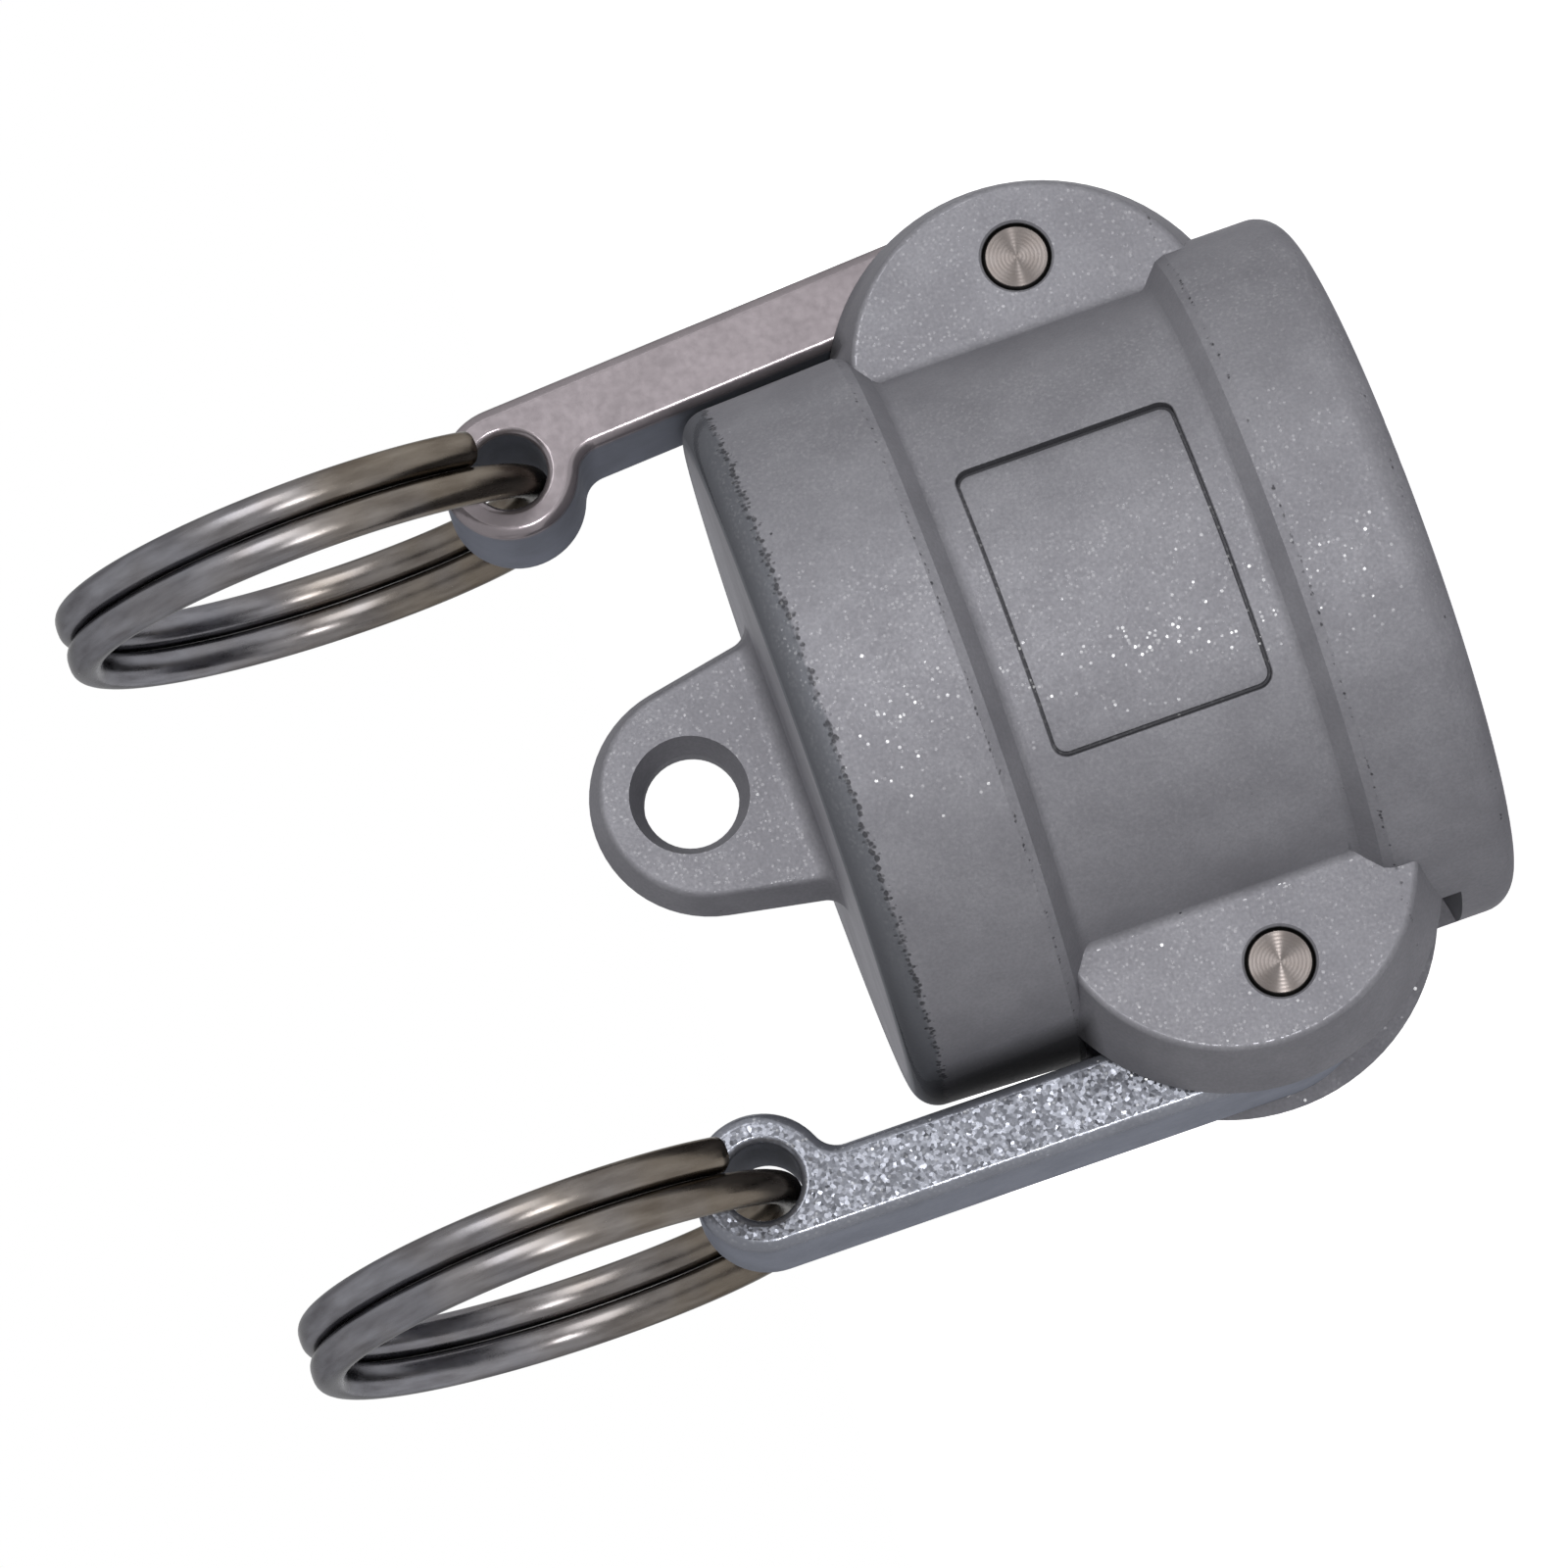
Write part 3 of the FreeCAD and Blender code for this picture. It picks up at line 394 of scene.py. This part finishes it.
class Finish:
    """The node tree of one material, with short calls that add nodes and join them."""

    def __init__(self, name, grazing):
        """grazing is how much of a metal's grazing reflection its dull skin keeps."""
        self.material = bpy.data.materials.new(name)
        self.material.use_nodes = True
        self.nodes = self.material.node_tree.nodes
        self.links = self.material.node_tree.links
        self.shader = self.nodes["Principled BSDF"]
        self.give(self.shader, "Specular IOR Level", SPECULAR_LEVEL)
        self.give(self.shader, "Specular Tint", (grazing, grazing, grazing, 1.0))
        self.place = self.add("TexCoord").outputs["Object"]
        split = self.add("SeparateXYZ", {0: self.place})
        self.x, self.y, self.z = split.outputs
        direction = self.add("NewGeometry").outputs["Normal"]
        self.toward = self.add("SeparateXYZ", {0: direction}).outputs
        self.facing = self.maths("ABSOLUTE", self.toward[1])

    def give(self, node, socket, value):
        """Sets a node's input to a number or a colour, or joins another node's output to it."""
        if isinstance(value, bpy.types.NodeSocket):
            self.links.new(value, node.inputs[socket])
        else:
            node.inputs[socket].default_value = value

    def add(self, kind, inputs=None, **settings):
        """A node with its settings, whose inputs are numbers, colours or other nodes' outputs."""
        node = self.nodes.new("ShaderNode" + kind)
        for name, value in settings.items():
            setattr(node, name, value)
        for socket, value in (inputs or {}).items():
            self.give(node, socket, value)
        return node

    def noise(self, grain, detail=2.0, roughness=0.5):
        """Noise from 0 to 1 whose lumps are about grain across, in metres."""
        return self.add("TexNoise", {"Vector": self.place, "Scale": 1.0 / grain,
                                     "Detail": detail, "Roughness": roughness}).outputs["Fac"]

    def cells(self, grain):
        """Voronoi cells about grain across, in metres."""
        return self.add("TexVoronoi", {"Vector": self.place, "Scale": 1.0 / grain})

    def maths(self, operation, first, second=0.0):
        return self.add("Math", {0: first, 1: second}, operation=operation).outputs[0]

    def vectors(self, operation, first, second):
        return self.add("VectorMath", {0: first, 1: second}, operation=operation).outputs[0]

    def spread(self, value, span, to=RISING):
        """value carried from the ends of span to those of to, and held there beyond them."""
        return self.add("MapRange", {"Value": value, "From Min": span[0], "From Max": span[1],
                                     "To Min": to[0], "To Max": to[1]}).outputs["Result"]

    def either(self, first, *others):
        """The highest of several masks."""
        for other in others:
            first = self.maths("MAXIMUM", first, other)
        return first

    def both(self, first, *others):
        """The product of several masks."""
        for other in others:
            first = self.maths("MULTIPLY", first, other)
        return first

    def off(self, value, middle):
        """How far value is from middle, either way."""
        return self.maths("ABSOLUTE", self.maths("SUBTRACT", value, middle))

    def length(self, across, up):
        """Length of the slope that goes so far across and up."""
        squares = self.maths("ADD", self.both(across, across), self.both(up, up))
        return self.maths("SQRT", squares)

    def mottle(self, grain):
        """Ragged patches about grain across, as a mask."""
        return self.spread(self.noise(grain, MOTTLE_DETAIL, MOTTLE_ROUGHNESS), MOST)

    def blend(self, share, first, second):
        """A colour between first and second."""
        node = self.add("Mix", {0: share}, data_type="RGBA")
        for socket, value in ((6, first), (7, second)):
            if not isinstance(value, bpy.types.NodeSocket):
                value = (*value, 1.0)
            self.give(node, socket, value)
        return node.outputs[2]

    def bump(self, height, depth, below=None):
        """Relief of that depth in metres, on top of the relief below."""
        inputs = {"Height": height, "Distance": depth, "Strength": 1.0}
        if below is not None:
            inputs["Normal"] = below
        return self.add("Bump", inputs).outputs["Normal"]

    def lumps(self, layers, below=None):
        """Layers of lumps, each (grain, detail, depth), on top of the relief below."""
        for grain, detail, depth in layers:
            below = self.bump(self.noise(grain, detail), depth, below)
        return below

    def facets(self, grain, tilt, below=None):
        """Small flat facets about grain across, each tilted its own way."""
        if below is None:
            below = self.add("NewGeometry").outputs["Normal"]
        own = self.vectors("SUBTRACT", self.cells(grain).outputs["Color"], (0.5, 0.5, 0.5))
        node = self.add("VectorMath", {0: own, "Scale": tilt}, operation="SCALE")
        tilted = self.vectors("ADD", below, node.outputs[0])
        return self.add("VectorMath", {0: tilted}, operation="NORMALIZE").outputs[0]

    def sparkle(self, grain, tilt, weight, roughness):
        """Bright dots about grain apart, each tilted its own way, that catch a small light."""
        dots = self.spread(self.cells(grain).outputs["Distance"], DOT_WITHIN, (weight, 0.0))
        dots = self.both(dots, self.spread(self.facing, DOTS_FACING))
        self.give(self.shader, "Coat Roughness", roughness)
        self.give(self.shader, "Coat Weight", dots)
        self.give(self.shader, "Coat Normal", self.facets(grain, tilt))

    def panel_shade_line(self, radius):
        """Painted shade along the foot of the panel's walls, in the recess, as a mask."""
        corner = PANEL_CORNER
        angle = self.maths("ARCTAN2", self.x, self.maths("MULTIPLY", self.y, -1.0))
        arc = self.maths("MULTIPLY", self.maths("ABSOLUTE", angle), WAIST_RADIUS)
        arc = self.maths("SUBTRACT", arc, PANEL_HALF_ANGLE * WAIST_RADIUS - corner)
        height = self.off(self.z, PANEL_MIDDLE)
        height = self.maths("SUBTRACT", height, PANEL_HALF_LENGTH - corner)
        past = self.length(self.maths("MAXIMUM", arc, 0.0), self.maths("MAXIMUM", height, 0.0))
        inside = self.maths("MINIMUM", self.maths("MAXIMUM", arc, height), 0.0)
        edge = self.maths("SUBTRACT", self.maths("ADD", past, inside), corner)
        line = self.spread(self.off(edge, -PANEL_SHADE_INSIDE), PANEL_SHADE_HALF, FALLING)
        return self.both(line, self.spread(radius, OUTSIDE_FROM))

    def pin_distance(self):
        """Distance to the nearer pivot pin's axis."""
        side = self.maths("SUBTRACT", self.maths("ABSOLUTE", self.x), PIN_PLACE.x)
        return self.length(side, self.maths("SUBTRACT", self.z, PIN_PLACE.z))

    def wear(self, colour, metallic, roughness, normal):
        """Gives the shader what has been made, and returns the material."""
        self.give(self.shader, "Base Color", colour)
        self.give(self.shader, "Metallic", metallic)
        self.give(self.shader, "Roughness", roughness)
        self.give(self.shader, "Normal", normal)
        return self.material


def joint_place(name):
    for joint in frame["joints"]:
        if joint["name"] == name:
            return Vector(joint["pos_m"])
    raise ValueError("no joint " + name)


PIN_PLACE = joint_place("right_arm_hinge")


def darker(colour, share):
    return [value * share for value in colour]


def cast_dark_marks(finish, height, radius):
    """Mask of the casting's pits, of the ragged lines along its edges and of the painted shade along
    the foot of the panel's walls.
    """
    # Pits are points far apart, each as wide as the noise at its place lets it be
    away = finish.cells(PIT_GRAIN).outputs["Distance"]
    reach = finish.spread(finish.noise(PIT_PATCHES), PIT_PATCH_SPAN, PIT_RADIUS)
    pit = finish.spread(finish.maths("SUBTRACT", away, reach), (0.0, PIT_EDGE), FALLING)

    # Dots that run together where the bands turn over and step down
    broken = finish.spread(finish.noise(BREAK_GRAIN, BREAK_DETAIL, BREAK_ROUGHNESS), BREAK_SPAN,
                           BREAK_STRENGTH)
    lines = []
    for middle, half, strength in EDGE_LINES:
        lines.append(finish.spread(finish.off(height, middle), (0.0, half), (strength, 0.0)))
    near = finish.both(finish.either(*lines), broken, finish.spread(radius, BAND_FROM))
    apart = finish.cells(LINE_DOTS).outputs["Distance"]
    apart = finish.maths("SUBTRACT", apart, finish.both(near, LINE_DOT_GROWTH))
    ragged = finish.both(finish.spread(apart, LINE_DOT_EDGE, FALLING),
                         finish.spread(near, LINE_ENDS))
    return finish.either(pit, ragged, finish.panel_shade_line(radius))


def cast_steel():
    """Blasted casting: mottled grey, fine grain, dark pits, ragged lines along its edges, and
    painted shade on the end's corner, under the arms, round the pins and along the panel's walls.
    """
    finish = Finish("cast_steel", CAST_GRAZING)
    colour = finish.blend(finish.mottle(CAST_MOTTLE), *CAST_GREYS)
    grain = finish.noise(CAST_GRAIN)
    grainy = finish.spread(grain, NEARLY_ALL, (0.0, CAST_GRAIN_SHARE))
    colour = finish.blend(grainy, colour, CAST_GRAIN_GREY)

    wavy = finish.spread(finish.noise(WAVE_GRAIN, WAVE_DETAIL), NEARLY_ALL, WAVE_REACH)
    height = finish.maths("ADD", finish.z, wavy)
    radius = finish.length(finish.x, finish.y)
    outwards = finish.maths("ABSOLUTE", finish.x)
    dark = cast_dark_marks(finish, height, radius)

    # Shade is painted on the closed end's rounded corner, which is darker than the band, on the band
    # under the arms, and in the gap round the pins
    corner = finish.both(finish.spread(height, CORNER_HEIGHT_FROM),
                         finish.spread(radius, CORNER_RADIUS_FROM), CORNER_SHADE_SHARE)
    shade_under_arms = finish.both(finish.spread(outwards, UNDER_ARM_FROM),
                        finish.spread(finish.z, UNDER_ARM_HEIGHT_FROM))
    pin_gap_shade = finish.spread(finish.pin_distance(), PIN_GAP_SHADE_UNTIL, FALLING)
    colour = finish.blend(corner, colour, CORNER_SHADE_GREY)
    colour = finish.blend(finish.both(shade_under_arms, UNDER_ARM_SHADE_SHARE), colour, UNDER_ARM_SHADE_GREY)
    # Pits, ragged lines along the edges, and painted shade along the panel's walls
    colour = finish.blend(finish.both(dark, PIT_AND_SHADE_SHARE), colour, PIT_AND_SHADE_GREY)
    colour = finish.blend(pin_gap_shade, colour, PIN_GAP_SHADE_GREY)

    end_face = finish.both(finish.spread(finish.off(finish.z, CAP_LENGTH), END_FACE_WITHIN, FALLING),
                           finish.spread(finish.toward[2], FACES_UP_FROM))
    lighter = finish.vectors("MULTIPLY", colour, END_FACE_LIGHTER)
    colour = finish.blend(end_face, colour, lighter)
    # The closed end's face is less metallic, and so is the band under the arms, which keeps the
    # painted shade there dark
    metallic = finish.spread(finish.either(end_face, shade_under_arms), RISING, (CAST_METALLIC, DULL_METALLIC))

    # The outer rims of the ears are rubbed brighter, in specks
    turned_out = finish.maths("GREATER_THAN", finish.both(finish.x, finish.toward[0]), 0.0)
    rubbed = finish.both(finish.spread(finish.facing, RIM_FACING_FROM),
                         finish.spread(finish.facing, RIM_FACING_UNTIL, FALLING),
                         finish.spread(outwards, EARS_FROM), turned_out,
                         finish.spread(finish.noise(RIM_SPECKS), RIM_SPECK_SPAN))
    roughness = finish.maths("SUBTRACT", finish.spread(grain, NEARLY_ALL, CAST_ROUGHNESS),
                             finish.both(rubbed, RIM_GLOSS))

    relief = finish.lumps(CAST_LUMPS)
    relief = finish.bump(finish.maths("SUBTRACT", 1.0, dark), PIT_DEPTH, relief)
    relief = finish.lumps(CAST_GRAIN_RELIEF, relief)
    tilt = finish.spread(finish.noise(CAST_DOT_PATCHES), ABOUT_HALF, CAST_DOT_TILT)
    finish.sparkle(CAST_DOTS, tilt, CAST_DOT_WEIGHT, CAST_DOT_ROUGHNESS)
    return finish.wear(colour, metallic, roughness, relief)


def arm_steel(name, face, side, face_roughness, coarse):
    """Arm casting: satin faces, and rounded edges that are rubbed bright."""
    finish = Finish(name, ARM_GRAZING)
    on_face = finish.spread(finish.facing, ARM_FACES_FROM)
    on_side = finish.spread(finish.facing, ARM_SIDES_UNTIL, FALLING)
    # The sides take a bluer colour than the faces, a painted reflection, darker on the right arm as
    # painted shade
    light = finish.blend(on_side, face, side)
    dark = finish.blend(on_side, darker(face, ARM_FACE_DARKER), darker(side, ARM_SIDE_DARKER))
    colour = finish.blend(finish.mottle(ARM_MOTTLE), light, dark)

    satin = finish.spread(finish.noise(ARM_SATIN, ARM_SATIN_DETAIL), ARM_SATIN_SPAN, face_roughness)
    flat = finish.maths("MAXIMUM", satin, finish.spread(on_side, RISING, (0.0, ARM_SIDE_ROUGHNESS)))
    rims = finish.spread(finish.either(on_face, on_side), RISING, (ARM_RIM_ROUGHNESS, 1.0))
    roughness = finish.maths("MINIMUM", flat, rims)

    relief = finish.lumps(ARM_RELIEF)
    if coarse:
        relief = finish.facets(COARSE_FACETS, finish.spread(on_face, RISING, COARSE_TILT), relief)
        finish.sparkle(COARSE_DOTS, COARSE_DOT_TILT, COARSE_DOT_WEIGHT, COARSE_DOT_ROUGHNESS)
    return finish.wear(colour, ARM_METALLIC, roughness, relief)


def pin_steel():
    """Turned pin: fine rings round its axis, which the light crosses in a bow, and painted shade on
    its chamfer.
    """
    finish = Finish("pin_steel", PIN_GRAZING)
    finish.give(finish.shader, "Anisotropic", PIN_ANISOTROPIC)
    finish.give(finish.shader, "Anisotropic Rotation", PIN_ANISOTROPIC_TURN)
    tangent = finish.add("Tangent", direction_type="RADIAL", axis="Y").outputs[0]
    finish.give(finish.shader, "Tangent", tangent)
    radius = finish.pin_distance()
    turning = finish.maths("SINE", finish.maths("MULTIPLY", radius, 2 * math.pi / PIN_RINGS))
    uneven = finish.both(turning, finish.noise(PIN_RING_PATCHES))
    colour = finish.blend(finish.noise(PIN_MOTTLE, PIN_MOTTLE_DETAIL), *PIN_GREYS)
    # Painted shade on the chamfer, standing for the shade in the gap round the pin
    colour = finish.blend(finish.spread(radius, PIN_CHAMFER_SHADE_FROM), colour, PIN_CHAMFER_SHADE_GREY)
    return finish.wear(colour, PIN_METALLIC, PIN_ROUGHNESS, finish.bump(uneven, PIN_RING_DEPTH))


def ring_wire():
    """Drawn wire: dark and smooth, brown near the eye and bluer away from it, with streaks."""
    finish = Finish("ring_wire", WIRE_GRAZING)
    along = finish.add("TexCoord").outputs["UV"]
    stretched = finish.vectors("MULTIPLY", along, WIRE_STREAKS)
    streaks = finish.add("TexNoise", {"Vector": stretched, "Scale": 1.0,
                                      "Detail": WIRE_STREAK_DETAIL}).outputs["Fac"]
    streaky = finish.spread(streaks, NEARLY_ALL)
    uneven = finish.spread(finish.noise(WIRE_BLUE_GRAIN), NEARLY_ALL, WIRE_BLUE_REACH)
    away = finish.spread(finish.maths("ADD", finish.z, uneven), WIRE_BLUE_FROM)
    colour = finish.blend(away, finish.blend(streaky, *WIRE_BROWNS),
                          finish.blend(streaky, *WIRE_BLUES))
    roughness = finish.spread(streaks, NEARLY_ALL, WIRE_ROUGHNESS)
    relief = finish.lumps(WIRE_RELIEF, finish.bump(streaks, WIRE_STREAK_DEPTH))
    return finish.wear(colour, WIRE_METALLIC, roughness, relief)


def seal_rubber():
    """Moulded rubber: matte black with a slight bloom."""
    finish = Finish("seal_rubber", RUBBER_GRAZING)
    bloom = finish.noise(RUBBER_BLOOM, RUBBER_BLOOM_DETAIL, RUBBER_BLOOM_ROUGHNESS)
    colour = finish.blend(finish.spread(bloom, RUBBER_BLOOM_SPAN), *RUBBER_BLACKS)
    roughness = finish.spread(bloom, NEARLY_ALL, RUBBER_ROUGHNESS)
    return finish.wear(colour, RUBBER_METALLIC, roughness, finish.lumps(RUBBER_RELIEF))


def dress_node(name, material):
    mesh = frame["nodes"][name].data
    mesh.materials.clear()
    mesh.materials.append(material)


def wire_section(spread):
    """Points round the wire's section, wider and squarer to its sides as it spreads."""
    half_width = WIRE_RADIUS + spread * ((RING_PITCH - TURN_GAP) / 2 - WIRE_RADIUS)
    power = ROUND_POWER / (ROUND_POWER + spread * (FLAT_POWER - ROUND_POWER))
    points = []
    for index in range(WIRE_SIDES):
        angle = 2 * math.pi * index / WIRE_SIDES
        across = abs(math.cos(angle)) ** power * math.copysign(half_width, math.cos(angle))
        points.append((across, math.sin(angle) * WIRE_RADIUS))
    return points


def wire_vertices(side):
    """Sections of wire along two turns, wound as in the CAD and seated in the arm's eye."""
    reach = EYE_HOLE_RADIUS - WIRE_RADIUS - RING_SEAT_CLEARANCE
    drop = math.sqrt(reach ** 2 - RING_SHIFT ** 2)
    advance = RING_PITCH * (1 - RING_FIRST_GAP / (2 * math.pi))
    swing = Matrix.Rotation(-RING_TURN[side], 3, "Z")
    middle = Vector((advance - RING_SHIFT, 0.0, RING_RADIUS - drop))
    middle = joint_place(side + "_ring_hinge") + swing @ middle
    along = swing @ Vector((-1.0, 0.0, 0.0))
    whole = 2 * math.pi * WHOLE_TURNS - RING_FIRST_GAP - RING_LAST_GAP
    vertices = []
    for step in range(WIRE_STEPS + 1):
        turned = whole * step / WIRE_STEPS
        angle = RING_FIRST_GAP + turned
        outward = swing @ Vector((0.0, -math.sin(angle), -math.cos(angle)))
        centre = middle + outward * RING_RADIUS + along * RING_PITCH * turned / (2 * math.pi)
        past_eye = abs(angle - 2 * math.pi) - SPREAD_FROM
        spread = min(1.0, max(0.0, past_eye / SPREAD_OVER))
        for across, out in wire_section(spread):
            vertices.append(centre + along * across + outward * out)
    return vertices


def add_ring(side, material):
    """The pull ring of one side, which stands for the CAD's."""
    vertices = wire_vertices(side)
    faces = []
    places = []
    for step in range(WIRE_STEPS):
        for index in range(WIRE_SIDES):
            low = step * WIRE_SIDES
            high = low + WIRE_SIDES
            following = (index + 1) % WIRE_SIDES
            faces.append((low + index, high + index, high + following, low + following))
            places += [(step, index), (step + 1, index), (step + 1, index + 1), (step, index + 1)]

    # Cut ends: the section shrinks into a small bevel and is closed with one face
    for step, inner in ((0, WIRE_SIDES), (WIRE_STEPS, (WIRE_STEPS - 1) * WIRE_SIDES)):
        start = step * WIRE_SIDES
        section = vertices[start:start + WIRE_SIDES]
        centre = sum(section, Vector()) / WIRE_SIDES
        before = sum(vertices[inner:inner + WIRE_SIDES], Vector()) / WIRE_SIDES
        outwards = (centre - before).normalized() * WIRE_RADIUS * WIRE_END_BEVEL
        first = len(vertices)
        for point in section:
            vertices.append(centre + (point - centre) * (1 - WIRE_END_BEVEL) + outwards)
        at_end = step == WIRE_STEPS
        for index in range(WIRE_SIDES):
            following = (index + 1) % WIRE_SIDES
            rim = [start + index, first + index, first + following, start + following]
            faces.append(tuple(rim if at_end else reversed(rim)))
            places += [(step, index)] * 4
        end = list(range(first, first + WIRE_SIDES))
        faces.append(tuple(reversed(end) if at_end else end))
        places += [(step, 0)] * WIRE_SIDES

    mesh = bpy.data.meshes.new(side + "_ring_wire")
    mesh.from_pydata(vertices, [], faces)
    layer = mesh.uv_layers.new(name="along_the_wire")
    for loop, (step, index) in zip(layer.data, places):
        loop.uv = (step / WIRE_STEPS, index / WIRE_SIDES)
    mesh.materials.append(material)
    mesh.shade_smooth()
    mesh.update()
    ring = bpy.data.objects.new(side + "_ring_wire", mesh)
    bpy.context.scene.collection.objects.link(ring)
    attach(ring, side + "_ring")
    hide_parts(side + "_pull_ring")


bpy.context.scene.view_settings.view_transform = "Standard"
add_camera()
add_world()
add_floor()
for lamp in LAMPS:
    add_lamp(*lamp)

dress_node("cap_body", cast_steel())
dress_node("gasket", seal_rubber())
pin = pin_steel()
wire = ring_wire()
for side in ("right", "left"):
    dress_node(side + "_cam_arm", arm_steel(*ARMS[side]))
    dress_node(side + "_pivot_pin", pin)
    add_ring(side, wire)
